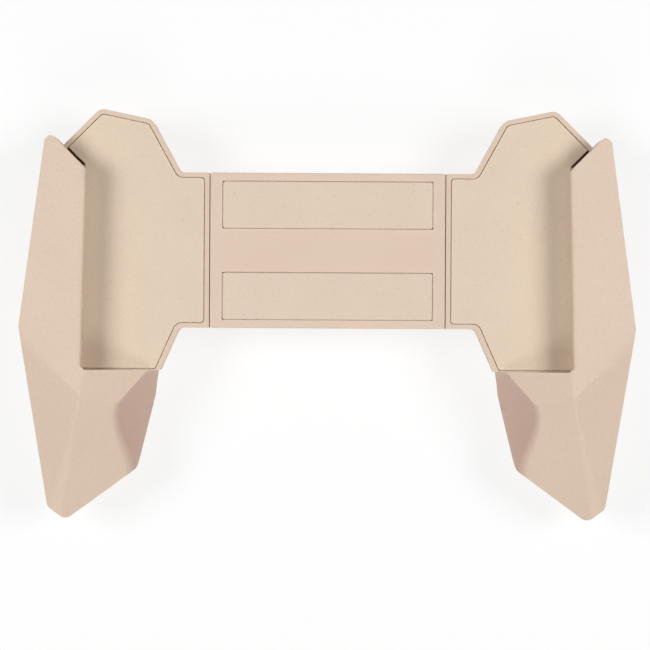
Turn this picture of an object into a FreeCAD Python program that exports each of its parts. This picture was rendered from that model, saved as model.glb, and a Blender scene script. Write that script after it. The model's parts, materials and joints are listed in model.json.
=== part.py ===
import FreeCAD, Part
import math
import os
import re
import Sketcher
from FreeCAD import Placement, Rotation, Vector

# Phone gaming grip, modelled lying on its back with its front up.
# X runs along the phone, Y up the front face and Z from the table to the front.
# The right grip is drawn and the left grip is its mirror image.

doc = FreeCAD.newDocument("phone_gaming_grip")

# Driving dimensions in millimetres and degrees
SIZES = (
    ("back_rise", "13", "table to the flat back of the centre and trays"),
    ("body_thick", "9", "flat back to the rim top"),
    ("back_skin", "2", "back plates, up to the parting line"),
    ("wall_height", "10", "end wall above the rim"),
    ("skin", "2", "wall of the grip mouldings"),
    ("centre_width", "65", "centre housing along the phone"),
    ("centre_depth", "42.9", "centre housing across the phone"),
    ("centre_y", "17.75", "axis of the centre housing"),
    ("centre_corner", "0.8", "corner radius of the centre housing"),
    ("seam_gap", "0.2", "gap between the centre and a closed grip"),
    ("neck_x", "40.6", "where the tray widens at its upper edge"),
    ("neck_low_x", "40.9", "where the tray widens at its lower edge"),
    ("shoulder_x", "48.6", "tray shoulder corner"),
    ("shoulder_y", "53.8", "tray shoulder corner"),
    ("peak_x", "62.95", "highest tray corner"),
    ("peak_y", "56.8", "highest tray corner"),
    ("root_x", "46.3", "where the tray edge meets the handle"),
    ("root_y", "-15.85", "where the tray edge meets the handle"),
    ("heel_x", "52.9", "inner lower corner of the handle"),
    ("heel_y", "-42.95", "inner lower corner of the handle"),
    ("tip_x", "72.3", "lowest corner of the handle"),
    ("tip_y", "-57.15", "lowest corner of the handle"),
    ("toe_x", "77.3", "outer corner beside the tip"),
    ("toe_y", "-53.35", "outer corner beside the tip"),
    ("hip_x", "84.8", "widest corner"),
    ("hip_y", "-3.45", "widest corner"),
    ("horn_out_x", "77.75", "outer corner of the end wall's top"),
    ("horn_out_y", "47.85", "outer corner of the end wall's top"),
    ("horn_x", "75.9", "upper corner of the end wall, on its slanted end"),
    ("wall_foot_x", "67.3", "inner face of the end wall at the ledge"),
    ("wall_lean", "1.25", "lean of the end wall towards the centre, degrees"),
    ("wall_end_y", "39.45", "inner end of the end wall, where its slanted end starts"),
    ("ledge_y", "-15.45", "ledge that a phone's edge rests on"),
    ("ledge_corner", "1", "bevel in the corner between the ledge and the end wall"),
    ("lip", "1.5", "overhang of the lip along the end wall's top"),
    ("lip_height", "2.5", "lip along the end wall's top"),
    ("crown_y", "-22.55", "where the handle's facets meet"),
    ("wall_slope", "15", "fall of the end wall's top to the outside, degrees"),
    ("shelf_slope", "24.8", "fall of the facet beside the ledge, degrees"),
    ("face_slope", "30", "fall of the thumb facet, degrees"),
    ("face_heading", "230.8", "direction in which the thumb facet falls, degrees"),
    ("side_slope", "29.2", "fall of the outer lower facet, degrees"),
    ("side_heading", "-25.7", "direction in which the outer lower facet falls, degrees"),
    ("flank_root_slope", "78", "inner flank at the ledge, degrees"),
    ("flank_bend_slope", "69.5", "inner flank between the ledge and its knee, degrees"),
    ("flank_knee_slope", "63.3", "inner flank at its knee, degrees"),
    ("flank_waist_slope", "61.5", "inner flank between its knee and the heel, degrees"),
    ("flank_heel_slope", "63.5", "inner flank at the heel, degrees"),
    ("flank_foot", "9.7", "table to the foot of the inner flank from the ledge to the knee"),
    ("flank_waist_foot", "12.2", "table to the foot of the inner flank between the knee and the heel"),
    ("flank_heel_foot", "16", "table to the foot of the inner flank at the heel"),
    ("bend_y", "-20.15", "inner flank between the ledge and its knee"),
    ("knee_y", "-25.65", "knee of the inner flank"),
    ("waist_y", "-33.65", "inner flank between its knee and the heel"),
    ("tray_round", "3", "corner radius at the tray's shoulder and peak"),
    ("neck_round", "2", "corner radius at the neck"),
    ("heel_round", "3", "corner radius at the heel"),
    ("tip_round", "2.4", "corner radius at the tip"),
    ("hip_round", "5", "corner radius at the hip"),
    ("horn_round", "1.2", "corner radius at the end wall's top"),
    ("lip_round", "1", "round along the lip's inner top edge"),
    ("crease_crown_round", "1", "round between the wall top and the outer lower facet, at the crown"),
    ("crease_hip_round", "14", "round between the wall top and the outer lower facet, at the hip"),
    ("ridge_crown_round", "1", "round of the ridge down the handle, at the crown"),
    ("ridge_tip_round", "6", "round of the ridge down the handle, at the tip"),
    ("shelf_round", "0.8", "round of the ridges round the facet beside the ledge"),
    ("flank_knee_round", "4", "round between the thumb facet and the inner flank, at the knee"),
    ("flank_heel_round", "6", "round between the thumb facet and the inner flank, at the heel"),
    ("rim_width", "1.3", "rim round the tray inlay"),
    ("end_slot", "0.5", "open slot along the foot of the end wall's slanted end"),
    ("foot_rim", "0.3", "rim between the inlay and the foot of the end wall or ledge"),
    ("panel_thick", "1", "tray inlay"),
    ("panel_drop", "0.3", "rim top above the inlay"),
    ("panel_gap", "0.12", "gap round the inlay"),
    ("panel_seam_round", "1", "corner radius of the inlay at the seam"),
    ("panel_neck_round", "2.4", "corner radius of the inlay at the neck"),
    ("panel_peak_round", "1.7", "corner radius of the inlay at the tray's shoulder and peak"),
    ("floor_thick", "2.2", "tray floor under the inlay"),
    ("outer_lean", "30", "lean of the handle's back on its outer side, degrees"),
    ("tip_lean", "35", "lean of the handle's back at the tip, degrees"),
    ("inner_lean", "20", "lean of the handle's back on its inner side, degrees"),
    ("tray_lean", "50", "lean of the handle's back under the tray, degrees"),
    ("foot_round", "2.5", "round of the handle's back round its foot"),
    ("cover_foot_round", "1", "round of the centre housing's back edges"),
    ("plate_edge_round", "0.3", "round of the centre plate's top edges"),
    ("lid_thick", "2.6", "centre front plate"),
    ("pad_width", "58", "grip pad along the phone"),
    ("pad_height", "13", "grip pad across the phone"),
    ("pad_margin", "2.35", "edge of the centre plate to a grip pad"),
    ("pad_recess", "0.9", "depth of the recess under a grip pad"),
    ("pad_proud", "0.4", "grip pad above the centre plate"),
    ("pad_gap", "0.05", "gap round a grip pad in its recess"),
    ("cover_wall", "2", "side and end walls of the centre housing"),
    ("travel", "13", "how far each grip slides out"),
    ("slide_thick", "2.4", "slide plate"),
    ("tongue_half", "9", "half width of the slide plate's tongue"),
    ("head_half", "13.9", "half width of the slide plate's head"),
    ("head_length", "4", "slide plate's head along its travel"),
    ("stop_half", "1.2", "half thickness of the stops at the middle"),
    ("slide_foot_half", "15", "half width of the slide plate under the tray"),
    ("slide_foot_end", "3", "outer slide screws to the slide plate's end"),
    ("running_gap", "0.3", "clearance of sliding pieces"),
    ("rail_thick", "1.2", "rails and guide ribs"),
    ("guide_half", "6", "guide ribs from the housing's axis"),
    ("spring_offset", "11.7", "springs from the housing's axis"),
    ("spring_radius", "1.6", "outer radius of a spring"),
    ("spring_wire", "0.5", "spring wire"),
    ("pin_radius", "0.8", "pins that hold the springs"),
    ("end_gap", "0.1", "spring end to its seat"),
    ("small_shank", "1", "radius of the slide and centre screws"),
    ("small_head", "1.8", "head radius of the slide and centre screws"),
    ("small_head_height", "1", "head height of the slide and centre screws"),
    ("small_length", "3", "slide and centre screws under their heads"),
    ("shell_shank", "1.2", "radius of the shell screws"),
    ("shell_head", "2.1", "head radius of the shell screws"),
    ("shell_head_height", "1.4", "head height of the shell screws"),
    ("long_length", "13", "long shell screws under their heads"),
    ("short_length", "4", "short shell screws under their heads"),
    ("long_seat", "6", "table to the seat of a long screw's head"),
    ("short_recess", "1.6", "depth of a short screw's recess in the back plate"),
    ("boss_wall", "1.4", "wall of a screw boss"),
    ("boss_step", "1.5", "back plate bosses above the parting line"),
    ("hole_gap", "0.15", "clearance of a screw in a through hole"),
    ("thread_gap", "0.03", "clearance drawn at a screw thread"),
    ("centre_screw_x", "26.5", "centre screws from the middle"),
    ("centre_screw_offset", "17", "centre screws from the housing's axis"),
    ("slide_screw_near", "5.2", "inner slide screws from the seam"),
    ("slide_screw_run", "15", "inner slide screws to the outer ones"),
    ("slide_screw_offset", "11", "slide screws from the housing's axis"),
    ("handle_screw_x", "65", "long screw in the handle"),
    ("handle_screw_y", "-35.65", "long screw in the handle"),
    ("hip_screw_x", "74.5", "long screw at the hip"),
    ("hip_screw_y", "4.35", "long screw at the hip"),
    ("horn_screw_x", "72.3", "short screw in the end wall"),
    ("horn_screw_y", "36.35", "short screw in the end wall"),
    ("peak_screw_x", "55", "short screw at the tray's peak"),
    ("peak_screw_y", "49.35", "short screw at the tray's peak"),
    ("neck_screw_x", "40", "short screw at the neck"),
    ("neck_screw_y", "0.15", "short screw at the neck"),
)

sizes = doc.addObject("Spreadsheet::Sheet", "Sizes")
for row, (alias, value, meaning) in enumerate(SIZES, 1):
    sizes.set(f"A{row}", value)
    sizes.setAlias(f"A{row}", alias)
    sizes.set(f"B{row}", meaning)
doc.recompute()

ALIASES = {alias for alias, value, meaning in SIZES}

# Levels above the table
Z_PART = "(back_rise + back_skin)"
Z_RIM = "(back_rise + body_thick)"
Z_TOP = "(back_rise + body_thick + wall_height)"
Z_INLAY_SEAT = "(back_rise + body_thick - panel_drop - panel_thick)"
Z_FLOOR = "(back_rise + body_thick - panel_drop - panel_thick - floor_thick)"
Z_LID = "(back_rise + body_thick - lid_thick)"
Z_SLIDE = f"({Z_FLOOR} - slide_thick)"
Z_SLIDE_MID = f"({Z_FLOOR} - slide_thick / 2)"
Z_SHORT_SEAT = "(back_rise + short_recess)"

# Places along X and Y
SEAM_X = "(centre_width / 2 + seam_gap)"
SEAM_LOW = "(centre_y - centre_depth / 2)"
SEAM_HIGH = "(centre_y + centre_depth / 2)"
WALL_HEAD_X = "(wall_foot_x - (wall_end_y - ledge_y) * tan(wall_lean))"
CROWN_X = "(wall_foot_x + (ledge_y - crown_y) * tan(wall_lean))"
NOTCH_X = f"((peak_x + peak_y - wall_end_y + {WALL_HEAD_X}) / 2)"
HEAD_X = "(stop_half + seam_gap)"
SCREW_NEAR = f"({SEAM_X} + slide_screw_near)"
SCREW_FAR = f"({SCREW_NEAR} + slide_screw_run)"
SPRING_START = f"({HEAD_X} + head_length)"
SPRING_END = "(centre_width / 2 - cover_wall)"
PIN_LENGTH = f"(({SPRING_END} - {SPRING_START} - travel - running_gap) / 2)"


def formula(text):
    """Turns the names of sizes into references to the sheet's cells."""
    return re.sub(r"[a-z_]+", lambda m: "Sizes." + m[0] if m[0] in ALIASES else m[0], text)


def bind(thing, **properties):
    for name, text in properties.items():
        thing.setExpression(name.replace("__", "."), formula(text))


def add(kind, name, **properties):
    thing = doc.addObject(kind, name)
    bind(thing, **properties)
    return thing


def draw_polygon(sketch, corners):
    """Closes straight lines through the corners, each held by its two distances."""
    count = len(corners)
    spots = [Vector(math.cos(math.tau * i / count), math.sin(math.tau * i / count), 0) for i in range(count)]
    first = sketch.GeometryCount
    for i in range(count):
        sketch.addGeometry(Part.LineSegment(spots[i], spots[(i + 1) % count]), False)
    for i, (across, up) in enumerate(corners):
        line = first + i
        following = first + (i + 1) % count
        sketch.addConstraint(Sketcher.Constraint("Coincident", line, 2, following, 1))
        for kind, value, text in (("DistanceX", spots[i].x, across), ("DistanceY", spots[i].y, up)):
            index = sketch.addConstraint(Sketcher.Constraint(kind, -1, 1, line, 1, value))
            sketch.setExpression(f"Constraints[{index}]", formula(text))


def draw_rectangle(sketch, x_low, x_high, y_low, y_high):
    draw_polygon(sketch, ((x_low, y_low), (x_high, y_low), (x_high, y_high), (x_low, y_high)))


def draw_circles(sketch, centres, radius):
    for across, up in centres:
        circle = sketch.addGeometry(Part.Circle(Vector(1, 1, 0), Vector(0, 0, 1), 1), False)
        for kind, text in (("DistanceX", across), ("DistanceY", up)):
            index = sketch.addConstraint(Sketcher.Constraint(kind, -1, 1, circle, 3, 1))
            sketch.setExpression(f"Constraints[{index}]", formula(text))
        index = sketch.addConstraint(Sketcher.Constraint("Radius", circle, 1))
        sketch.setExpression(f"Constraints[{index}]", formula(radius))


def body_sketch(body, name, plane, offset):
    """A sketch on one of the body's own origin planes, moved along its normal."""
    sketch = body.newObject("Sketcher::SketchObject", name)
    origin = next(f for f in body.Origin.OriginFeatures if f.Role == plane)
    sketch.AttachmentSupport = (origin, [""])
    sketch.MapMode = "FlatFace"
    bind(sketch, AttachmentOffset__Base__z=offset)
    return sketch


def pad(body, name, bottom, height, draw, *figures, plane="XY_Plane"):
    sketch = body_sketch(body, name + "_sketch", plane, bottom)
    for figure in figures:
        draw(sketch, *figure)
    feature = body.newObject("PartDesign::Pad", name)
    feature.Profile = sketch
    bind(feature, Length=height)
    doc.recompute()
    return feature


def pocket(body, name, top, depth, draw, *figures):
    """Cuts down from the level top."""
    sketch = body_sketch(body, name + "_sketch", "XY_Plane", top)
    for figure in figures:
        draw(sketch, *figure)
    before = body.Shape.Volume
    feature = body.newObject("PartDesign::Pocket", name)
    feature.Profile = sketch
    bind(feature, Length=depth)
    doc.recompute()
    if body.Shape.Volume >= before:
        raise RuntimeError(f"{name} cuts nothing")
    return feature


def round_edges(body, name, radius, wanted):
    """Rounds the edges of the body for which wanted(edge) is true."""
    tip = body.Tip
    chosen = [f"Edge{i}" for i, edge in enumerate(tip.Shape.Edges, 1) if wanted(edge)]
    feature = body.newObject("PartDesign::Fillet", name)
    feature.Base = (tip, chosen)
    bind(feature, Radius=radius)
    doc.recompute()
    return feature


def is_upright(edge):
    low, high = edge.Vertexes[0].Point, edge.Vertexes[-1].Point
    return math.hypot(high.x - low.x, high.y - low.y) < 1e-6


def level_at(height):
    """A test for edges that lie at the given height."""
    return lambda edge: all(abs(v.Z - height) < 1e-6 for v in edge.Vertexes)


def size(alias):
    return float(sizes.get(alias))


def soften(name, solid, radii):
    """Rounds edges of a finished solid.

    radii(edge) gives the radii at the edge's higher and lower ends, or None.
    """
    doc.recompute()
    chosen = []
    for i, edge in enumerate(solid.Shape.Edges, 1):
        pair = radii(edge)
        if pair:
            falling = edge.Vertexes[0].Z >= edge.Vertexes[-1].Z
            chosen.append((i, *(pair if falling else reversed(pair))))
    result = doc.addObject("Part::Fillet", name)
    result.Base = solid
    result.Edges = chosen
    return result


def flat_sketch(name, height, corners):
    sketch = doc.addObject("Sketcher::SketchObject", name)
    draw_polygon(sketch, corners)
    bind(sketch, Placement__Base__z=height)
    return sketch


def extrude(name, profile, height):
    solid = doc.addObject("Part::Extrusion", name)
    solid.Base = profile
    solid.DirMode = "Custom"
    solid.Dir = Vector(0, 0, 1)
    solid.Solid = True
    bind(solid, LengthFwd=height)
    return solid


def inset(name, profile, distance):
    flat = doc.addObject("Part::Offset2D", name)
    flat.Source = profile
    flat.Join = "Intersection"
    bind(flat, Value=f"-({distance})")
    return flat


def box(name, x_low, x_high, y_low, y_high, z_low, z_high):
    return add(
        "Part::Box",
        name,
        Length=f"({x_high}) - ({x_low})",
        Width=f"({y_high}) - ({y_low})",
        Height=f"({z_high}) - ({z_low})",
        Placement__Base__x=x_low,
        Placement__Base__y=y_low,
        Placement__Base__z=z_low,
    )


def cylinder(name, x, y, z_low, z_high, radius):
    return add(
        "Part::Cylinder",
        name,
        Radius=radius,
        Height=f"({z_high}) - ({z_low})",
        Placement__Base__x=x,
        Placement__Base__y=y,
        Placement__Base__z=z_low,
    )


def half_space(name, x, y, z, heading, pitch, depth="0"):
    """A wide disc on the far side of a plane.

    The plane goes through the point, depth deeper, and its outward normal points
    along the heading, pitch degrees off the upright.
    """
    lean = f"{depth} * sin({pitch})"
    disc = add("Part::Cylinder", name, Radius="3 * hip_x", Height="hip_x")
    bind(
        disc,
        Placement=f"placement(vector({x} - {lean} * cos({heading}); {y} - {lean} * sin({heading});"
        f" {z} - {depth} * cos({pitch})); rotation({heading}; {pitch}; 0))",
    )
    return disc


def cut(name, base, *tools):
    """Takes the tools away from the base, one after another."""
    for i, tool in enumerate(tools, 1):
        result = doc.addObject("Part::Cut", name if i == len(tools) else f"{name}_cut{i}")
        result.Base = base
        result.Tool = tool
        base = result
    return base


def combine(kind, name, *things):
    result = doc.addObject(kind, name)
    result.Shapes = things
    return result


# Finished sub-parts by name: right ones get a left twin
centre_parts = {}
right_parts = {}


# Outline of a grip, anticlockwise from the seam's lower corner
OUTLINE = (
    (SEAM_X, SEAM_LOW),
    ("neck_low_x", SEAM_LOW),
    ("root_x", "root_y"),
    ("heel_x", "heel_y"),
    ("tip_x", "tip_y"),
    ("toe_x", "toe_y"),
    ("hip_x", "hip_y"),
    ("horn_out_x", "horn_out_y"),
    ("horn_x", f"wall_end_y + horn_x - {WALL_HEAD_X}"),
    (NOTCH_X, f"wall_end_y + {NOTCH_X} - {WALL_HEAD_X}"),
    ("peak_x", "peak_y"),
    ("shoulder_x", "shoulder_y"),
    ("neck_x", SEAM_HIGH),
    (SEAM_X, SEAM_HIGH),
)
ROUNDS = {
    "neck_round": (1, 12),
    "heel_round": (3,),
    "tip_round": (4, 5),
    "hip_round": (6,),
    "horn_round": (7, 8),
    "tray_round": (10, 11),
}


def outline_block(name, bottom, height):
    """The grip's outline as a block with rounded corners."""
    body = doc.addObject("PartDesign::Body", name)
    block = pad(body, name + "_pad", bottom, height, draw_polygon, (OUTLINE,))
    spots = [line.StartPoint for line in block.Profile[0].Geometry]
    for radius, corners in ROUNDS.items():
        places = [spots[i] for i in corners]
        round_edges(
            body,
            f"{name}_{radius}",
            radius,
            lambda edge: is_upright(edge)
            and any(math.hypot(edge.Vertexes[0].X - p.x, edge.Vertexes[0].Y - p.y) < 1e-4 for p in places),
        )
    return body


def bay_block(name, bottom, height, wall_out="0", end_out="0", ledge_out="0"):
    """Where the phone lies: inboard of the end wall and its slanted end, and above the ledge.

    Each of the three lines can be moved outwards.
    """
    reach = "peak_y"
    corner_x = f"({WALL_HEAD_X} + {wall_out})"
    corner_y = f"(wall_end_y + {wall_out} - ({end_out}) * sqrt(2))"
    corners = (
        (f"-{reach}", f"ledge_y - {ledge_out}"),
        (f"wall_foot_x + {wall_out} - ledge_corner", f"ledge_y - {ledge_out}"),
        (
            f"wall_foot_x + {wall_out} - ledge_corner * tan(wall_lean)",
            f"ledge_y - {ledge_out} + ledge_corner",
        ),
        (corner_x, corner_y),
        (f"{corner_x} + {reach}", f"{corner_y} + {reach}"),
        (f"-{reach}", f"{corner_y} + {reach}"),
    )
    return extrude(name, flat_sketch(name + "_sketch", bottom, corners), height)


def flank_loft(name, depth):
    """Takes away what lies inboard of the handle's inner flank, from the ledge to the heel."""
    run = "((heel_x - root_x) / (root_y - heel_y))"
    high = f"({Z_TOP} + wall_height)"
    past_heel = "(heel_y - heel_round)"
    sections = []
    for i, (y, low, slope) in enumerate((
        ("ledge_y", "flank_foot", "flank_root_slope"),
        ("bend_y", "flank_foot", "flank_bend_slope"),
        ("knee_y", "flank_foot", "flank_knee_slope"),
        ("waist_y", "flank_waist_foot", "flank_waist_slope"),
        (past_heel, "flank_heel_foot", "flank_heel_slope"),
    )):
        edge = f"(root_x + (root_y - {y}) * {run} + {depth} / sin({slope}))"
        sketch = doc.addObject("Sketcher::SketchObject", f"{name}_section{i + 1}")
        draw_polygon(sketch, (
            (edge, low),
            (f"{edge} + ({high} - {low}) / tan({slope})", high),
            (f"{edge} - hip_x", high),
            (f"{edge} - hip_x", low),
        ))
        sketch.Placement = Placement(Vector(0, 0, 0), Rotation(Vector(1, 0, 0), 90))
        bind(sketch, Placement__Base__y=y)
        sections.append(sketch)
    loft = doc.addObject("Part::Loft", name)
    loft.Sections = sections
    loft.Solid = True
    return loft


def facet_tools(name, depth):
    """The planes and the flank that shape the front of the end wall and handle."""
    crown = (CROWN_X, "crown_y", Z_TOP)
    # The shelf starts at the top of the ledge's corner bevel and follows the lean of the end wall
    inward = f"{depth} * sin(shelf_slope)"
    shelf = add("Part::Box", name + "_shelf", Length="hip_x", Width="hip_x", Height="hip_x")
    bind(
        shelf,
        Placement=f"placement(vector(wall_foot_x - ledge_corner * tan(wall_lean) + {inward} * cos(wall_lean);"
        f" ledge_y + ledge_corner + {inward} * sin(wall_lean); {Z_TOP} - {depth} * cos(shelf_slope));"
        f" rotation(180 + wall_lean; shelf_slope; 0))",
    )
    return (
        half_space(name + "_wall_top", *crown, "wall_lean", "wall_slope", depth),
        half_space(name + "_outer_side", *crown, "side_heading", "side_slope", depth),
        half_space(name + "_thumb_face", *crown, "face_heading", "face_slope", depth),
        shelf,
        flank_loft(name + "_flank", depth),
    )


def back_tools(name, depth):
    """The leaning planes that shape the back of the handle below its upright band."""
    corners = {
        "outer_upper": ("hip_x", "hip_y", "horn_out_x", "horn_out_y", "outer_lean", "back_rise"),
        "outer_lower": ("toe_x", "toe_y", "hip_x", "hip_y", "outer_lean", "back_rise"),
        "toe": ("tip_x", "tip_y", "toe_x", "toe_y", "tip_lean", "back_rise"),
        "bottom": ("heel_x", "heel_y", "tip_x", "tip_y", "tip_lean", "back_rise"),
        "inner": ("root_x", "root_y", "heel_x", "heel_y", "inner_lean", "flank_foot"),
        "under_tray": ("horn_x", OUTLINE[8][1], "root_x", "root_y", "tray_lean", "back_rise"),
    }
    planes = []
    for side, (x, y, x2, y2, lean, level) in corners.items():
        heading = f"(atan2({y2} - ({y}); {x2} - {x}) - 90 deg)"
        planes.append(half_space(f"{name}_{side}", x, y, level, heading, f"(90 + {lean})", depth))
    return planes


SHORT_SCREWS = (
    ("horn_screw_x", "horn_screw_y"),
    ("peak_screw_x", "peak_screw_y"),
    ("neck_screw_x", "neck_screw_y"),
)
LONG_SCREWS = (("handle_screw_x", "handle_screw_y"), ("hip_screw_x", "hip_screw_y"))
SLIDE_SCREWS = tuple(
    (x, f"centre_y {sign} slide_screw_offset")
    for x in (SCREW_NEAR, SCREW_FAR)
    for sign in "+-"
)
CENTRE_SCREWS = tuple(
    (f"{side}centre_screw_x", f"centre_y {sign} centre_screw_offset") for side in ("", "-") for sign in "+-"
)


def columns(name, places, z_low, z_high, radius):
    """Upright cylinders of one size at several places."""
    return [cylinder(f"{name}{i}", x, y, z_low, z_high, radius) for i, (x, y) in enumerate(places, 1)]


# Tray floor inlay: its outline is the tray's, carried under the end wall and the ledge
FIELD_EDGE = "(rim_width - foot_rim)"
SLANT_EDGE = "(rim_width - end_slot)"
TRAY_FIELD = (
    (SEAM_X, SEAM_LOW),
    ("neck_low_x", SEAM_LOW),
    (
        f"root_x + (root_y - ledge_y + {FIELD_EDGE}) * (root_x - neck_low_x) / ({SEAM_LOW} - root_y)",
        f"ledge_y - {FIELD_EDGE}",
    ),
    (f"wall_foot_x + lip + {FIELD_EDGE}", f"ledge_y - {FIELD_EDGE}"),
    (f"{WALL_HEAD_X} + lip + {FIELD_EDGE}", f"wall_end_y + lip + {FIELD_EDGE} - {SLANT_EDGE} * sqrt(2)"),
    (
        f"(peak_x + peak_y - wall_end_y + {WALL_HEAD_X} + {SLANT_EDGE} * sqrt(2)) / 2",
        f"(peak_x + peak_y + wall_end_y - {WALL_HEAD_X} - {SLANT_EDGE} * sqrt(2)) / 2",
    ),
    ("peak_x", "peak_y"),
    ("shoulder_x", "shoulder_y"),
    ("neck_x", SEAM_HIGH),
    (SEAM_X, SEAM_HIGH),
)
tray_field = flat_sketch("tray_field", Z_INLAY_SEAT, TRAY_FIELD)


def inlay_corner(edge):
    x, y = edge.Vertexes[0].X, edge.Vertexes[0].Y
    if not is_upright(edge) or x > size("peak_x") or y < size("ledge_y") + 2 * size("rim_width"):
        return None
    if x < size("neck_x") - 2 * size("rim_width"):
        radius = size("panel_seam_round")
    elif y > size("wall_end_y") + 2 * size("rim_width"):
        radius = size("panel_peak_round")
    else:
        radius = size("panel_neck_round")
    return radius, radius


recess_block = extrude(
    "recess_block", inset("inlay_recess_outline", tray_field, "rim_width"), "panel_thick + panel_drop"
)
inlay_recess = soften("inlay_recess", recess_block, inlay_corner)
panel_block = extrude(
    "panel_block", inset("tray_panel_outline", tray_field, "rim_width + panel_gap"), "panel_thick"
)
right_parts["tray_panel"] = soften("tray_panel", panel_block, inlay_corner)

# Front moulding of a grip: tray rim and floor, end wall, ledge and the handle's facets
front_faceted = cut(
    "front_faceted",
    outline_block("front_block", Z_PART, f"{Z_TOP} - {Z_PART}"),
    bay_block("phone_bay", Z_RIM, "2 * wall_height"),
    bay_block("lip_undercut", Z_RIM, "wall_height - lip_height", wall_out="lip"),
    *facet_tools("front_facet", "0"),
)
inner_outline = inset("inner_outline", flat_sketch("inner_outline_sketch", Z_PART, OUTLINE), "skin")


def facing(heading, pitch):
    """The direction along a heading, pitch degrees off the upright."""
    level = math.sin(math.radians(pitch))
    turn = math.radians(heading)
    return Vector(level * math.cos(turn), level * math.sin(turn), math.cos(math.radians(pitch)))


FACETS = {
    "wall top": facing(size("wall_lean"), size("wall_slope")),
    "lip": facing(180 + size("wall_lean"), 90),
    "side": facing(size("side_heading"), size("side_slope")),
    "thumb": facing(size("face_heading"), size("face_slope")),
    "shelf": facing(180 + size("wall_lean"), size("shelf_slope")),
}
RIDGES = {
    ("lip", "wall top"): ("lip_round", "lip_round"),
    ("side", "wall top"): ("crease_crown_round", "crease_hip_round"),
    ("side", "thumb"): ("ridge_crown_round", "ridge_tip_round"),
    ("shelf", "thumb"): ("shelf_round", "shelf_round"),
    ("flank", "shelf"): ("shelf_round", "shelf_round"),
    ("flank", "thumb"): ("flank_knee_round", "flank_heel_round"),
}


def facet_of(face):
    """Name of the facet that a face belongs to. The only warped face is the inner flank."""
    u_low, u_high, v_low, v_high = face.ParameterRange
    normal = face.normalAt((u_low + u_high) / 2, (v_low + v_high) / 2)
    for name, direction in FACETS.items():
        if normal.dot(direction) > 0.9999:
            return name
    return "" if isinstance(face.Surface, (Part.Plane, Part.Cylinder)) else "flank"


doc.recompute()
front_faces = [(facet_of(face), face) for face in front_faceted.Shape.Faces]


def ridge_radii(edge):
    beside = sorted(name for name, face in front_faces if any(edge.isSame(e) for e in face.Edges))
    return [size(alias) for alias in RIDGES.get(tuple(beside), ())]


front_outside = soften("front_outside", front_faceted, ridge_radii)
handle_hollow = cut(
    "handle_hollow",
    extrude("handle_hollow_block", inner_outline, f"{Z_TOP} - skin - {Z_PART}"),
    bay_block(
        "hollow_bay", f"{Z_PART} - skin", "body_thick + 2 * wall_height", "(lip + skin)", "skin", "skin"
    ),
    *facet_tools("hollow_facet", "skin"),
)
tray_hollow = combine(
    "Part::MultiCommon",
    "tray_hollow",
    extrude("tray_hollow_block", inner_outline, f"{Z_FLOOR} - {Z_PART}"),
    box("tray_hollow_limit", "0", "wall_foot_x + skin", "ledge_y + skin", "peak_y", "0", Z_RIM),
)
front_hollow = cut(
    "front_hollow",
    combine("Part::MultiFuse", "front_hollow_all", handle_hollow, tray_hollow),
    *columns("front_long_boss", LONG_SCREWS, "0", Z_TOP, "shell_shank + boss_wall"),
    *columns("front_short_boss", SHORT_SCREWS, f"{Z_PART} + boss_step", Z_TOP, "shell_shank + boss_wall"),
)

# Slot along the foot of the end wall's slanted end, from its inner corner to the tray's rim
SLOT_RUN = f"({NOTCH_X} - {WALL_HEAD_X} - rim_width * sqrt(0.5))"
SLOT_ACROSS = "end_slot * sqrt(0.5)"
SLOT_CORNERS = (
    (f"{WALL_HEAD_X} + lip", "wall_end_y + lip"),
    (f"{WALL_HEAD_X} + {SLOT_RUN}", f"wall_end_y + {SLOT_RUN}"),
    (f"{WALL_HEAD_X} + {SLOT_RUN} - {SLOT_ACROSS}", f"wall_end_y + {SLOT_RUN} + {SLOT_ACROSS}"),
    (f"{WALL_HEAD_X} + lip - {SLOT_ACROSS}", f"wall_end_y + lip + {SLOT_ACROSS}"),
)
right_parts["front_shell"] = cut(
    "front_shell",
    front_outside,
    front_hollow,
    inlay_recess,
    extrude("end_slot_block", flat_sketch("end_slot_sketch", Z_PART, SLOT_CORNERS), f"{Z_RIM} - {Z_PART}"),
    box(
        "tongue_slot",
        "centre_width / 2",
        f"{SEAM_X} + 2 * skin",
        "centre_y - tongue_half - hole_gap",
        "centre_y + tongue_half + hole_gap",
        f"{Z_SLIDE} - hole_gap",
        Z_FLOOR,
    ),
    *columns("slide_head_hole", SLIDE_SCREWS, f"{Z_INLAY_SEAT} - small_head_height - hole_gap", Z_RIM,
             "small_head + hole_gap"),
    *columns("slide_shank_hole", SLIDE_SCREWS, Z_SLIDE, Z_RIM, "small_shank + hole_gap"),
    *columns("long_pilot", LONG_SCREWS, "0", "long_seat + long_length + hole_gap",
             "shell_shank + thread_gap"),
    *columns("short_pilot", SHORT_SCREWS, "0", f"{Z_SHORT_SEAT} + short_length + hole_gap",
             "shell_shank + thread_gap"),
)

# Back moulding of a grip: flat plate under the tray and the faceted finger rest
back_rest = cut("back_rest", outline_block("rest_block", "0", "back_rise"), *back_tools("rest_plane", "0"))
back_whole = combine(
    "Part::MultiFuse", "back_whole", outline_block("back_plate", "back_rise", "back_skin"), back_rest
)


def foot_radii(edge):
    """Edges round the foot and those that rise steeply from it."""
    low, high = sorted(v.Z for v in (edge.Vertexes[0], edge.Vertexes[-1]))
    if low < 1e-4 and (high < 1e-4 or high > size("back_rise") / 2):
        return size("foot_round"), size("foot_round")
    return None


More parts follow.
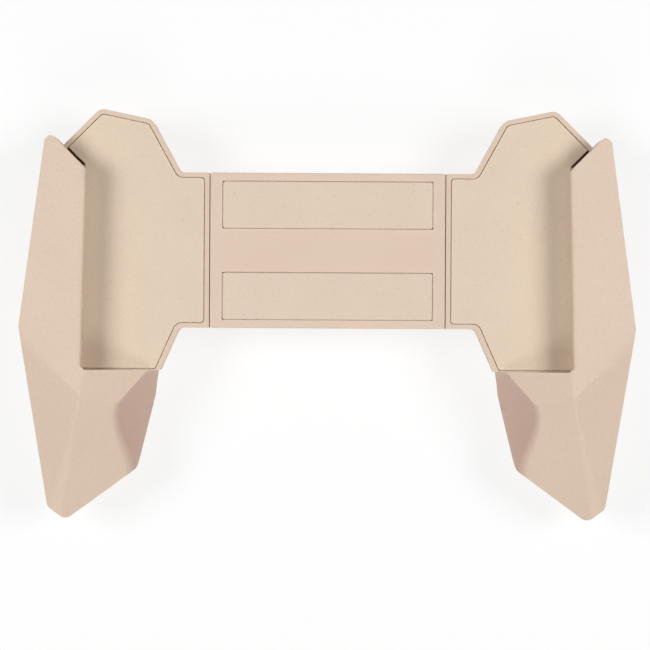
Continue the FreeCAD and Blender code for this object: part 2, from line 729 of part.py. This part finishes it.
back_faceted = cut("back_faceted", back_whole, flank_loft("back_flank", "0"))
back_outside = soften("back_outside", back_faceted, foot_radii)
rest_outline = inset("rest_outline", flat_sketch("rest_outline_sketch", "skin", OUTLINE), "skin")
back_hollow = cut(
    "back_hollow",
    extrude("back_hollow_block", rest_outline, f"{Z_PART} - skin"),
    *back_tools("hollow_plane", "skin"),
    flank_loft("back_hollow_flank", "skin"),
    *columns("back_long_boss", LONG_SCREWS, "0", Z_PART, "shell_head + hole_gap + boss_wall"),
    *columns("back_horn_boss", SHORT_SCREWS[:1], "0", Z_PART, "shell_head + hole_gap + boss_wall"),
)
back_bosses = combine(
    "Part::MultiFuse",
    "back_bosses",
    cut("back_opened", back_outside, back_hollow),
    *columns("back_short_boss", SHORT_SCREWS, Z_PART, f"{Z_PART} + boss_step", "shell_shank + boss_wall"),
)
right_parts["back_shell"] = cut(
    "back_shell",
    back_bosses,
    *columns("long_recess", LONG_SCREWS, "-1", "long_seat", "shell_head + hole_gap"),
    *columns("long_hole", LONG_SCREWS, "0", Z_RIM, "shell_shank + hole_gap"),
    *columns("short_recess", SHORT_SCREWS, "0", Z_SHORT_SEAT, "shell_head + hole_gap"),
    *columns("short_hole", SHORT_SCREWS, "0", Z_RIM, "shell_shank + hole_gap"),
)

# Slide plate: a tongue with a head at its inner end and a foot screwed under the tray floor
slide = doc.addObject("PartDesign::Body", "slide_plate")
foot_x = f"({SEAM_X} + skin + hole_gap)"
upper_half = (
    (HEAD_X, "head_half"),
    (SPRING_START, "head_half"),
    (SPRING_START, "tongue_half"),
    (foot_x, "tongue_half"),
    (foot_x, "slide_foot_half"),
    (f"({SCREW_FAR} + slide_foot_end)", "slide_foot_half"),
)
slide_corners = [(x, f"centre_y + {y}") for x, y in upper_half]
slide_corners += [(x, f"centre_y - {y}") for x, y in reversed(upper_half)]
pad(slide, "slide_pad", Z_SLIDE, "slide_thick", draw_polygon, (slide_corners,))
SPRING_YZ = tuple((f"centre_y {sign} spring_offset", Z_SLIDE_MID) for sign in "+-")
pad(slide, "slide_pins", SPRING_START, PIN_LENGTH, draw_circles, (SPRING_YZ, "pin_radius"), plane="YZ_Plane")
pocket(slide, "slide_pilots", Z_FLOOR, "slide_thick", draw_circles,
       (SLIDE_SCREWS, "small_shank + thread_gap"))
right_parts["slide_plate"] = slide

# Centre back cover: an open tray with rails, stops, guide ribs, bosses and spring pins
cover = doc.addObject("PartDesign::Body", "centre_back_cover")
CENTRE_HALF = "centre_width / 2"
pad(cover, "cover_pad", "back_rise", f"{Z_LID} - back_rise", draw_rectangle,
    (f"-{CENTRE_HALF}", CENTRE_HALF, SEAM_LOW, SEAM_HIGH))
round_edges(cover, "cover_corners", "centre_corner", is_upright)
round_edges(cover, "cover_foot", "cover_foot_round", level_at(size("back_rise")))
pocket(cover, "cover_hollow", Z_LID, f"{Z_LID} - {Z_PART}", draw_rectangle,
       (f"-{SPRING_END}", SPRING_END, f"{SEAM_LOW} + cover_wall", f"{SEAM_HIGH} - cover_wall"))
rail_low = "head_half + running_gap"
rail_high = "head_half + running_gap + rail_thick"
for sign in "+-":
    side = "upper" if sign == "+" else "lower"
    pad(cover, f"{side}_rail", Z_PART, f"{Z_LID} - running_gap - {Z_PART}", draw_rectangle,
        (f"-{SPRING_END}", SPRING_END, f"centre_y {sign} ({rail_low})", f"centre_y {sign} ({rail_high})"))
    pad(cover, f"{side}_stop", Z_PART, f"{Z_LID} - running_gap - {Z_PART}", draw_rectangle,
        ("-stop_half", "stop_half", f"centre_y {sign} (tongue_half + running_gap)",
         f"centre_y {sign} ({rail_low})"))
    pad(cover, f"{side}_guide", Z_PART, f"{Z_SLIDE} - running_gap - {Z_PART}", draw_rectangle,
        (f"-{SPRING_END}", SPRING_END, f"centre_y {sign} guide_half",
         f"centre_y {sign} (guide_half + rail_thick)"))
pad(cover, "cover_bosses", Z_PART, f"{Z_LID} - {Z_PART}", draw_circles,
    (CENTRE_SCREWS, "small_shank + boss_wall"))
pad(cover, "right_pins", f"{SPRING_END} - {PIN_LENGTH}", PIN_LENGTH, draw_circles, (SPRING_YZ, "pin_radius"),
    plane="YZ_Plane")
pad(cover, "left_pins", f"-{SPRING_END}", PIN_LENGTH, draw_circles, (SPRING_YZ, "pin_radius"),
    plane="YZ_Plane")
slot_sketch = body_sketch(cover, "slot_sketch", "YZ_Plane", "0")
draw_rectangle(slot_sketch, "centre_y - tongue_half - running_gap", "centre_y + tongue_half + running_gap",
               f"{Z_SLIDE} - running_gap", f"{Z_FLOOR} + running_gap")
slot = cover.newObject("PartDesign::Pocket", "tongue_slots")
slot.Profile = slot_sketch
slot.Midplane = True
bind(slot, Length="centre_width + cover_wall")
doc.recompute()
pocket(cover, "cover_pilots", Z_LID, f"{Z_LID} - {Z_PART}", draw_circles,
       (CENTRE_SCREWS, "small_shank + thread_gap"))
centre_parts["centre_back_cover"] = cover

# Centre front plate: two recesses for pads, screw holes under them and guide ribs below
plate = doc.addObject("PartDesign::Body", "centre_front_plate")
pad(plate, "plate_pad", Z_LID, "lid_thick", draw_rectangle,
    (f"-{CENTRE_HALF}", CENTRE_HALF, SEAM_LOW, SEAM_HIGH))
round_edges(plate, "plate_corners", "centre_corner", is_upright)
round_edges(plate, "plate_edges", "plate_edge_round", level_at(size("back_rise") + size("body_thick")))
PAD_EDGES = {
    "lower": (f"({SEAM_LOW} + pad_margin)", f"({SEAM_LOW} + pad_margin + pad_height)"),
    "upper": (f"({SEAM_HIGH} - pad_margin - pad_height)", f"({SEAM_HIGH} - pad_margin)"),
}
for side, (low, high) in PAD_EDGES.items():
    pocket(plate, f"{side}_pad_recess", Z_RIM, "pad_recess", draw_rectangle,
           ("-(pad_width / 2 + pad_gap)", "pad_width / 2 + pad_gap", f"{low} - pad_gap", f"{high} + pad_gap"))
    sign = "+" if side == "upper" else "-"
    pad(plate, f"{side}_plate_guide", f"{Z_FLOOR} + running_gap", f"{Z_LID} - {Z_FLOOR} - running_gap",
        draw_rectangle, (f"-({SPRING_END} - running_gap)", f"{SPRING_END} - running_gap",
                         f"centre_y {sign} guide_half", f"centre_y {sign} (guide_half + rail_thick)"))
pocket(plate, "plate_head_holes", f"{Z_RIM} - pad_recess", "small_head_height + hole_gap / 3", draw_circles,
       (CENTRE_SCREWS, "small_head + hole_gap"))
pocket(plate, "plate_shank_holes", f"{Z_RIM} - pad_recess", "lid_thick", draw_circles,
       (CENTRE_SCREWS, "small_shank + hole_gap"))
centre_parts["centre_front_plate"] = plate

# Soft pads
for side, (low, high) in PAD_EDGES.items():
    soft = doc.addObject("PartDesign::Body", f"{side}_grip_pad")
    pad(soft, f"{side}_pad_block", f"{Z_RIM} - pad_recess", "pad_recess + pad_proud", draw_rectangle,
        ("-pad_width / 2", "pad_width / 2", low, high))
    centre_parts[f"{side}_grip_pad"] = soft


def screws(name, places, seat, length, shank, head, head_height, heads_up):
    """A group of like screws: head, shank and a six-sided socket."""
    group = []
    for i, (x, y) in enumerate(places, 1):
        if heads_up:
            head_low, head_high = seat, f"{seat} + {head_height}"
            shank_low, shank_high = f"{seat} - {length}", seat
            socket_low = f"{seat} + {head_height} / 2"
        else:
            head_low, head_high = f"{seat} - {head_height}", seat
            shank_low, shank_high = seat, f"{seat} + {length}"
            socket_low = f"{seat} - {head_height}"
        whole = combine(
            "Part::MultiFuse",
            f"{name}_screw{i}",
            cylinder(f"{name}_head{i}", x, y, head_low, head_high, head),
            cylinder(f"{name}_shank{i}", x, y, shank_low, shank_high, shank),
        )
        socket = add(
            "Part::Prism",
            f"{name}_socket{i}",
            Circumradius=f"{head} / 2",
            Height=f"{head_height} / 2",
            Placement__Base__x=x,
            Placement__Base__y=y,
            Placement__Base__z=socket_low,
        )
        group.append(cut(f"{name}_finished{i}", whole, socket))
    compound = doc.addObject("Part::Compound", name)
    compound.Links = group
    return compound


small = ("small_shank", "small_head", "small_head_height", True)
large = ("shell_shank", "shell_head", "shell_head_height", False)
plate_seat = f"({Z_RIM} - pad_recess - small_head_height - hole_gap / 3)"
centre_parts["centre_screws"] = screws("centre_screws", CENTRE_SCREWS, plate_seat, "small_length", *small)
right_parts["slide_screws"] = screws(
    "slide_screws", SLIDE_SCREWS, f"({Z_INLAY_SEAT} - small_head_height - hole_gap)", "small_length", *small
)
right_parts["handle_screws"] = screws("handle_screws", LONG_SCREWS, "long_seat", "long_length", *large)
right_parts["tray_screws"] = screws("tray_screws", SHORT_SCREWS, Z_SHORT_SEAT, "short_length", *large)

# Springs on the pins, between the slide plate's head and the housing's end wall
for side, sign in (("upper", "+"), ("lower", "-")):
    tubes = []
    for layer, radius in (("outside", "spring_radius"), ("inside", "spring_radius - spring_wire")):
        tube = add("Part::Cylinder", f"{side}_spring_{layer}", Radius=radius,
                   Height=f"{SPRING_END} - {SPRING_START} - 2 * end_gap")
        tube.Placement = Placement(Vector(0, 0, 0), Rotation(Vector(0, 1, 0), 90))
        bind(tube, Placement__Base__x=f"{SPRING_START} + end_gap", Placement__Base__z=Z_SLIDE_MID,
             Placement__Base__y=f"centre_y {sign} spring_offset")
        tubes.append(tube)
    right_parts[f"{side}_spring"] = cut(f"{side}_spring", *tubes)

doc.recompute()

# Names, left twins and checks
parts = dict(centre_parts)
for name, thing in right_parts.items():
    twin = doc.addObject("Part::Mirroring", f"left_{name}")
    twin.Source = thing
    twin.Normal = Vector(1, 0, 0)
    parts[f"right_{name}"] = thing
    parts[f"left_{name}"] = twin
doc.recompute()

for thing in doc.Objects:
    if "Invalid" in thing.State or "Error" in thing.State:
        raise RuntimeError(f"{thing.Name} failed: {thing.State}")
for name, thing in parts.items():
    thing.Label = name
    if thing.Shape.isNull() or not thing.Shape.isValid() or not thing.Shape.Solids:
        raise RuntimeError(f"{name} has no valid shape")

os.makedirs("parts", exist_ok=True)
for name, thing in parts.items():
    thing.Shape.exportStep(f"parts/{name}.step")
    print(name, len(thing.Shape.Solids), "solid(s),", round(thing.Shape.Volume, 1), "mm3")
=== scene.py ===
import json
import math

import bmesh
import bpy
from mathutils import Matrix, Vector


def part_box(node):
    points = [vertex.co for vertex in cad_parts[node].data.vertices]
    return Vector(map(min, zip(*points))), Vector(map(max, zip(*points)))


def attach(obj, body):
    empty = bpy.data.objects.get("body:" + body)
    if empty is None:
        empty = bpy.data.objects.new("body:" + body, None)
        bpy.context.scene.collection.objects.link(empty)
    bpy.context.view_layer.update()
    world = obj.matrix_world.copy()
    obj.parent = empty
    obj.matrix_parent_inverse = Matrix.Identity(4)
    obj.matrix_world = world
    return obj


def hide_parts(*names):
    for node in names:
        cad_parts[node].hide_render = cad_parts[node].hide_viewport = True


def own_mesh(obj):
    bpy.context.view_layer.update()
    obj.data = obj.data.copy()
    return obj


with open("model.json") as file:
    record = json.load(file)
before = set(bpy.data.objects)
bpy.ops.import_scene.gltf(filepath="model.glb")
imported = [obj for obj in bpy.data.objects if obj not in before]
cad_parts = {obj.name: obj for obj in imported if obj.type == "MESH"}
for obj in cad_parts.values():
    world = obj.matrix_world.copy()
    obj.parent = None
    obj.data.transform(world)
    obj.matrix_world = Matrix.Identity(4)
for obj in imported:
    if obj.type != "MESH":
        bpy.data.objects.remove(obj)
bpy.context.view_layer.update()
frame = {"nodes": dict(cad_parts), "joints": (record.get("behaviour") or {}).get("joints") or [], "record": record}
nodes = frame["nodes"]
SIDES = ("right", "left")

# The view from straight above, as in the photograph, where the grip lies on its back.
# The camera is turned a third of a degree, because the grip lies that much askew in the picture.
ASKEW_DEGREES = 0.33
camera_data = bpy.data.cameras.new("photo_camera")
camera_data.sensor_width = 36
camera_data.lens = 166
camera = bpy.data.objects.new("photo_camera", camera_data)
bpy.context.scene.collection.objects.link(camera)
camera.location = (-0.0006, -0.00275, 0.85)
camera.rotation_euler = (0, 0, math.radians(ASKEW_DEGREES))
bpy.context.scene.camera = camera

# A plain white table that the grip lies on, much wider than the view. It glows, so that shadows
# on it stay pale.
FLOOR_REACH = 12
FLOOR_GLOW = 0.77
floor_mesh = bmesh.new()
bmesh.ops.create_grid(floor_mesh, x_segments=1, y_segments=1, size=FLOOR_REACH)
floor_data = bpy.data.meshes.new("floor")
floor_mesh.to_mesh(floor_data)
floor_mesh.free()
floor = bpy.data.objects.new("floor", floor_data)
bpy.context.scene.collection.objects.link(floor)
floor_look = bpy.data.materials.new("white_table")
floor_look.use_nodes = True
floor_shader = floor_look.node_tree.nodes["Principled BSDF"]
floor_shader.inputs["Base Color"].default_value = (0.2, 0.2, 0.2, 1)
floor_shader.inputs["Emission Color"].default_value = (1, 1, 1, 1)
floor_shader.inputs["Emission Strength"].default_value = FLOOR_GLOW
floor_shader.inputs["Roughness"].default_value = 0.9
floor_shader.inputs["Specular IOR Level"].default_value = 0
floor_data.materials.append(floor_look)

# Soft studio light: a large high lamp at each side, a weaker one in front of the grip, and a
# faint even surround. A lamp has its heading and rise in degrees, and its power in watts.
LAMPS = (
    ("right", 7, 50, 13.2),
    ("left", 173, 50, 13.2),
    ("front", -90, 45, 5.2),
)
LAMP_REACH = 1.5
LAMP_WIDTH = 0.66
SURROUND_GLOW = 0.05
for place, heading, rise, power in LAMPS:
    turn, rise = math.radians(heading), math.radians(rise)
    lamp_data = bpy.data.lights.new(f"{place}_lamp", "AREA")
    lamp_data.shape = "DISK"
    lamp_data.size = LAMP_WIDTH
    lamp_data.energy = power
    lamp = bpy.data.objects.new(f"{place}_lamp", lamp_data)
    bpy.context.scene.collection.objects.link(lamp)
    lamp.location = (
        LAMP_REACH * math.cos(rise) * math.cos(turn),
        LAMP_REACH * math.cos(rise) * math.sin(turn),
        LAMP_REACH * math.sin(rise),
    )
    lamp.rotation_euler = (math.pi / 2 - rise, 0, turn + math.pi / 2)

surround = bpy.data.worlds.new("surround")
surround.use_nodes = True
surround.node_tree.nodes["Background"].inputs["Color"].default_value = (1, 1, 1, 1)
surround.node_tree.nodes["Background"].inputs["Strength"].default_value = SURROUND_GLOW
bpy.context.scene.world = surround
bpy.context.scene.view_settings.view_transform = "Standard"


# Grip fronts: one stiff moulding a side, with the tray's rim, the end wall, the ledge and the
# thumb facets. Matt beige plastic from a finely spark-eroded mould, with softened outlines.
def worked_copy(node):
    """A merged copy of a solid's mesh, to be worked on."""
    mesh = bmesh.new()
    mesh.from_mesh(nodes[node].data)
    bmesh.ops.remove_doubles(mesh, verts=mesh.verts, dist=2e-6)
    return mesh


def put_together(mesh, name, material, body, slot, *solids, crease=28):
    """Makes the piece, smooth except at folds sharper than the crease, and fixes it to its body."""
    for edge in mesh.edges:
        edge.smooth = len(edge.link_faces) == 2 and edge.calc_face_angle() < math.radians(crease)
    for face in mesh.faces:
        face.smooth = True
    data = bpy.data.meshes.new(name)
    mesh.to_mesh(data)
    mesh.free()
    data.materials.append(material)
    piece = bpy.data.objects.new(name, data)
    bpy.context.scene.collection.objects.link(piece)
    even = piece.modifiers.new("even_shading", "WEIGHTED_NORMAL")
    even.keep_sharp = True
    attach(piece, body)
    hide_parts(*solids)
    return piece


class Finish:
    """A material being put together from texture nodes on the object's own coordinates."""

    def __init__(self, name):
        self.material = bpy.data.materials.new(name)
        self.material.use_nodes = True
        self.tree = self.material.node_tree
        self.shader = self.tree.nodes["Principled BSDF"]
        self.place = self.add("ShaderNodeTexCoord").outputs["Object"]

    def add(self, kind, **settings):
        """A new node with the given settings."""
        node = self.tree.nodes.new(kind)
        for name, value in settings.items():
            setattr(node, name, value)
        return node

    def link(self, output, socket):
        """Leads a node's output into a socket."""
        self.tree.links.new(output, socket)

    def noise(self, size, detail=2, roughness=0.5, stretch=(1, 1, 1)):
        """Cloudy noise with features of about the given size in metres."""
        mapping = self.add("ShaderNodeMapping")
        mapping.inputs["Scale"].default_value = stretch
        self.link(self.place, mapping.inputs["Vector"])
        node = self.add("ShaderNodeTexNoise")
        node.inputs["Scale"].default_value = 1 / size
        node.inputs["Detail"].default_value = detail
        node.inputs["Roughness"].default_value = roughness
        self.link(mapping.outputs["Vector"], node.inputs["Vector"])
        return node.outputs["Fac"]

    def spread(self, source, low, high, out_low=0, out_high=1):
        """The source from low to high, laid over another range and kept within it."""
        node = self.add("ShaderNodeMapRange", clamp=True)
        node.inputs["From Min"].default_value = low
        node.inputs["From Max"].default_value = high
        node.inputs["To Min"].default_value = out_low
        node.inputs["To Max"].default_value = out_high
        self.link(source, node.inputs["Value"])
        return node.outputs["Result"]

    def times(self, first, second):
        """The product of two outputs."""
        node = self.add("ShaderNodeMath", operation="MULTIPLY")
        self.link(first, node.inputs[0])
        self.link(second, node.inputs[1])
        return node.outputs["Value"]

    def mix(self, factor, first, second, blend="MIX"):
        """Two colours blended. Each of the three is a fixed value or a node's output."""
        node = self.add("ShaderNodeMix", data_type="RGBA", blend_type=blend)
        for name, value in (("Factor", factor), ("A", first), ("B", second)):
            socket = node.inputs[name]
            if isinstance(value, (int, float)):
                socket.default_value = value
            elif isinstance(value, tuple):
                socket.default_value = value + (1,)
            else:
                self.link(value, socket)
        return next(output for output in node.outputs if output.type == "RGBA")

    def bump(self, height, depth, strength):
        """Relief of the given depth in metres."""
        node = self.add("ShaderNodeBump")
        node.inputs["Strength"].default_value = strength
        node.inputs["Distance"].default_value = depth
        self.link(height, node.inputs["Height"])
        return node.outputs["Normal"]

    def lay_on(self, colour, roughness, relief=None):
        """Leads the colour, the roughness and any relief into the shader."""
        self.link(colour, self.shader.inputs["Base Color"])
        self.link(roughness, self.shader.inputs["Roughness"])
        if relief is not None:
            self.link(relief, self.shader.inputs["Normal"])


LEDGE_Y = next(m["pos_m"][1] for m in frame["record"]["mounts"] if m["name"] == "right_ledge_face")
GRAIN_SHADE = (0.5, 0.37, 0.29)


def flank_shade_mask(finish):
    """1 on the flanks that face the middle from the ledges down, 0 elsewhere."""
    where = finish.add("ShaderNodeSeparateXYZ")
    finish.link(finish.place, where.inputs["Vector"])
    facing = finish.add("ShaderNodeSeparateXYZ")
    finish.link(finish.add("ShaderNodeTexCoord").outputs["Normal"], facing.inputs["Vector"])
    side = finish.add("ShaderNodeMath", operation="SIGN")
    finish.link(where.outputs["X"], side.inputs[0])
    outward = finish.times(side.outputs["Value"], facing.outputs["X"])
    faces_middle = finish.spread(outward, -0.35, -0.8)
    below_ledge = finish.spread(where.outputs["Y"], LEDGE_Y, LEDGE_Y - 0.001)
    return finish.times(faces_middle, below_ledge)


def moulded_plastic(name, colour, deeper, flank_shade_tint=None):
    """Matt moulded plastic with faint clouding and a fine eroded grain.

    With a flank shade tint, the inner flanks that face the middle are painted that much deeper and redder, as
    painted shade.
    """
    finish = Finish(name)
    clouds = finish.spread(finish.noise(0.022, detail=3), 0.35, 0.65)
    tone = finish.mix(clouds, deeper, colour)
    if flank_shade_tint:
        # Painted shade: the tint darkens and reddens the inner flanks that face the middle, below the ledges.
        tone = finish.mix(flank_shade_mask(finish), tone, finish.mix(1.0, tone, flank_shade_tint, "MULTIPLY"))
    fine = finish.noise(0.0005, detail=3, roughness=0.7)
    shaded = finish.spread(fine, 0.3, 0.7, out_high=0.17)
    tone = finish.mix(shaded, tone, GRAIN_SHADE, "MULTIPLY")
    matt = finish.spread(fine, 0.25, 0.75, 0.5, 0.63)
    finish.lay_on(tone, matt, finish.bump(fine, depth=0.00001, strength=0.5))
    finish.shader.inputs["IOR"].default_value = 1.5
    finish.shader.inputs["Specular IOR Level"].default_value = 0.4
    return finish.material


def soften_folds(mesh, width, wanted):
    """Rounds the sharp outward folds for which wanted(edge) is true."""
    flat, sharp = math.radians(0.5), math.radians(40)
    bmesh.ops.dissolve_limit(mesh, angle_limit=flat, verts=mesh.verts, edges=mesh.edges)
    chosen = [
        edge for edge in mesh.edges
        if len(edge.link_faces) == 2 and edge.calc_face_angle_signed() > sharp and wanted(edge)
    ]
    bmesh.ops.bevel(
        mesh, geom=chosen, offset=width, offset_type="OFFSET", segments=3, profile=0.5,
        affect="EDGES", clamp_overlap=True, material=-1,
    )
    bmesh.ops.triangulate(mesh, faces=[face for face in mesh.faces if len(face.verts) > 4])


PLATE_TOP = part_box("centre_front_plate")[1][2]
OUTLINE_FROM = PLATE_TOP - 0.012


def on_front_outline(edge):
    """Between an upright side and what faces up, on the end wall and the handle."""
    upright, upward = sorted(abs(face.normal.z) for face in edge.link_faces)
    return upright < 0.05 and upward > 0.7 and all(v.co.z > OUTLINE_FROM for v in edge.verts)


FRONT_ROUND = 0.0003
# The grip plastic's tint is painted shade on its inner flanks below the ledges.
grip_plastic = moulded_plastic(
    "grip_plastic", (0.705, 0.56, 0.443), (0.69, 0.545, 0.43), flank_shade_tint=(0.83, 0.735, 0.74),
)
for side in SIDES:
    front = worked_copy(f"{side}_front_shell")
    soften_folds(front, FRONT_ROUND, on_front_outline)
    put_together(
        front, f"{side}_grip_front", grip_plastic, f"{side}_grip", "grip_moulding",
        f"{side}_front_shell",
    )

# Grip backs: the lower half-shell with the faceted finger rest, screwed on from behind.
# The same matt plastic as the front.
for side in SIDES:
    put_together(
        worked_copy(f"{side}_back_shell"), f"{side}_grip_back", grip_plastic, f"{side}_grip",
        "grip_moulding", f"{side}_back_shell",
    )


# Tray inlays: thin sheets let into the tray floors, a shade yellower than the mouldings, with
# a sprayed soft-touch grain in which tiny dark specks show.
def lies_at(height):
    """A test for edges at the given height."""
    return lambda edge: all(abs(v.co.z - height) < 1e-5 for v in edge.verts)


def grained_coat(name, colour, deeper, speck, specks_per_metre, depth):
    """A soft-touch coat: matt, finely grained, with scattered tiny dark specks."""
    finish = Finish(name)
    clouds = finish.spread(finish.noise(0.015, detail=3), 0.3, 0.7)
    tone = finish.mix(clouds, deeper, colour)
    grain = finish.noise(0.0004, detail=4, roughness=0.75)
    shaded = finish.spread(grain, 0.3, 0.7, out_high=0.11)
    tone = finish.mix(shaded, tone, GRAIN_SHADE, "MULTIPLY")
    cells = finish.add("ShaderNodeTexVoronoi", feature="F1")
    cells.inputs["Scale"].default_value = specks_per_metre
    finish.link(finish.place, cells.inputs["Vector"])
    near = finish.spread(cells.outputs["Distance"], 0.16, 0.3, 1, 0)
    few = finish.spread(finish.noise(0.0011, detail=1), 0.56, 0.62)
    specked = finish.spread(finish.times(near, few), 0, 1, out_high=0.5)
    tone = finish.mix(specked, tone, speck)
    matt = finish.spread(grain, 0.3, 0.7, 0.62, 0.78)
    finish.lay_on(tone, matt, finish.bump(grain, depth, strength=0.6))
    finish.shader.inputs["Specular IOR Level"].default_value = 0.3
    return finish.material


INLAY_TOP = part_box("right_tray_panel")[1][2]
INLAY_ROUND = 0.0002
inlay_coat = grained_coat(
    "inlay_coat", (0.715, 0.59, 0.46), (0.695, 0.57, 0.445), (0.36, 0.27, 0.21),
    specks_per_metre=2300, depth=0.00002,
)
for side in SIDES:
    inlay = worked_copy(f"{side}_tray_panel")
    soften_folds(inlay, INLAY_ROUND, lies_at(INLAY_TOP))
    put_together(
        inlay, f"{side}_inlay", inlay_coat, f"{side}_grip", "tray_inlay", f"{side}_tray_panel",
    )

# Centre plate: the flat lid of the middle housing, with a recess for each grip strip and a
# softened edge all round. Matt plastic like the grips, a touch redder.
PLATE_ROUND = 0.00015
centre_plastic = moulded_plastic("centre_plastic", (0.715, 0.566, 0.456), (0.70, 0.551, 0.443))
lid = worked_copy("centre_front_plate")
soften_folds(lid, PLATE_ROUND, lies_at(PLATE_TOP))
put_together(
    lid, "centre_plate", centre_plastic, "centre", "centre_moulding", "centre_front_plate",
)

# Centre housing: the open tray below the plate, in which both slide plates run against their
# springs. Moulded in the grips' plastic, with slots in its end walls.
put_together(
    worked_copy("centre_back_cover"), "centre_housing", grip_plastic, "centre", "grip_moulding",
    "centre_back_cover",
)

# Grip strips: two silicone strips glued into the plate's recesses, so that a phone doesn't
# slide or get scratched. Finely grained, with rounded corners and a softened upper edge.
STRIP_CORNER = 0.0007
STRIP_ROUND = 0.0003
strip_coat = grained_coat(
    "strip_coat", (0.71, 0.588, 0.468), (0.69, 0.57, 0.452), (0.34, 0.26, 0.2),
    specks_per_metre=2500, depth=0.00003,
)
for place in ("upper", "lower"):
    low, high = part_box(f"{place}_grip_pad")
    size = [b - a for a, b in zip(low, high)]
    middle = [(a + b) / 2 for a, b in zip(low, high)]
    strip = bmesh.new()
    bmesh.ops.create_cube(strip, size=1)
    bmesh.ops.scale(strip, vec=size, verts=strip.verts)
    bmesh.ops.translate(strip, vec=middle, verts=strip.verts)
    upright = [e for e in strip.edges if abs(e.verts[0].co.z - e.verts[1].co.z) > 1e-4]
    bmesh.ops.bevel(
        strip, geom=upright, offset=STRIP_CORNER, offset_type="OFFSET", segments=5, profile=0.5,
        affect="EDGES", material=-1,
    )
    rim = [e for e in strip.edges if all(abs(v.co.z - high[2]) < 1e-6 for v in e.verts)]
    bmesh.ops.bevel(
        strip, geom=rim, offset=STRIP_ROUND, offset_type="OFFSET", segments=4, profile=0.5,
        affect="EDGES", material=-1,
    )
    put_together(
        strip, f"{place}_grip_strip", strip_coat, "centre", "pad_rubber", f"{place}_grip_pad",
    )

# Slide plates: the flat tongues that the grips are screwed to, seen in the gaps when the grips
# are pulled out. Smooth, slightly glossy plastic, rubbed along its travel.
slide_plastic = Finish("slide_plastic")
rubs = slide_plastic.noise(0.0006, stretch=(0.02, 1, 1))
slide_plastic.lay_on(
    slide_plastic.mix(
        slide_plastic.spread(rubs, 0.35, 0.65), (0.60, 0.46, 0.37), (0.63, 0.49, 0.40),
    ),
    slide_plastic.spread(rubs, 0.3, 0.7, 0.28, 0.42),
    slide_plastic.bump(rubs, depth=0.000004, strength=0.4),
)


def wear_solid(node, material):
    """Gives a solid its material and leaves its shape."""
    data = nodes[node].data
    data.materials.clear()
    data.materials.append(material)


for side in SIDES:
    wear_solid(f"{side}_slide_plate", slide_plastic.material)

# Screws: machine screws with a six-sided socket, which hold the mouldings together. Bright,
# faintly yellowed steel with the fine spangle of zinc plating.
zinc_steel = Finish("zinc_steel")
zinc_steel.shader.inputs["Metallic"].default_value = 1
spangle = zinc_steel.noise(0.0007, detail=3)
zinc_steel.lay_on(
    zinc_steel.mix(
        zinc_steel.spread(spangle, 0.35, 0.65), (0.52, 0.51, 0.49), (0.66, 0.65, 0.62),
    ),
    zinc_steel.spread(spangle, 0.3, 0.7, 0.28, 0.45),
    zinc_steel.bump(spangle, depth=0.000006, strength=0.5),
)
wear_solid("centre_screws", zinc_steel.material)
for side in SIDES:
    for group in ("slide_screws", "handle_screws", "tray_screws"):
        wear_solid(f"{side}_{group}", zinc_steel.material)

# Return springs: drawn steel wire wound into open coils, one pair a side inside the housing.
# In the grip each is pressed together against the housing's end wall as its grip is pulled out; here each coil
# keeps its rest length.
WIRE = 0.0005
WIRE_SIDES = 8
COILS = 15
STEPS_A_COIL = 24
STEPS = COILS * STEPS_A_COIL
spring_wire = Finish("spring_wire")
spring_wire.shader.inputs["Metallic"].default_value = 1
drawn = spring_wire.noise(0.0003)
spring_wire.lay_on(
    spring_wire.mix(spring_wire.spread(drawn, 0.35, 0.65), (0.5, 0.5, 0.51), (0.64, 0.64, 0.65)),
    spring_wire.spread(drawn, 0.3, 0.7, 0.25, 0.4),
)
for slide in frame["joints"]:
    side = slide["name"].split("_")[0]
    for place in ("upper", "lower"):
        low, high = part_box(f"{side}_{place}_spring")
        axis_y = (low[1] + high[1]) / 2
        axis_z = (low[2] + high[2]) / 2
        length = high[0] - low[0]
        coil_radius = (high[1] - low[1] - WIRE) / 2
        start = (low[0] + WIRE / 2, axis_y + coil_radius, axis_z)
        coil = bmesh.new()
        bmesh.ops.create_circle(coil, segments=WIRE_SIDES, radius=WIRE / 2)
        bmesh.ops.translate(coil, vec=start, verts=coil.verts)
        bmesh.ops.spin(
            coil, geom=coil.verts[:] + coil.edges[:], cent=(low[0], axis_y, axis_z),
            axis=(1, 0, 0), dvec=((length - WIRE) / STEPS, 0, 0), angle=math.tau * COILS,
            steps=STEPS,
        )
        ends = [edge for edge in coil.edges if edge.is_boundary]
        bmesh.ops.holes_fill(coil, edges=ends, sides=WIRE_SIDES)
        bmesh.ops.recalc_face_normals(coil, faces=coil.faces)
        spring = put_together(
            coil, f"{side}_{place}_return_spring", spring_wire.material, "centre",
            "spring_steel", f"{side}_{place}_spring", crease=60,
        )
        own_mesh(spring)
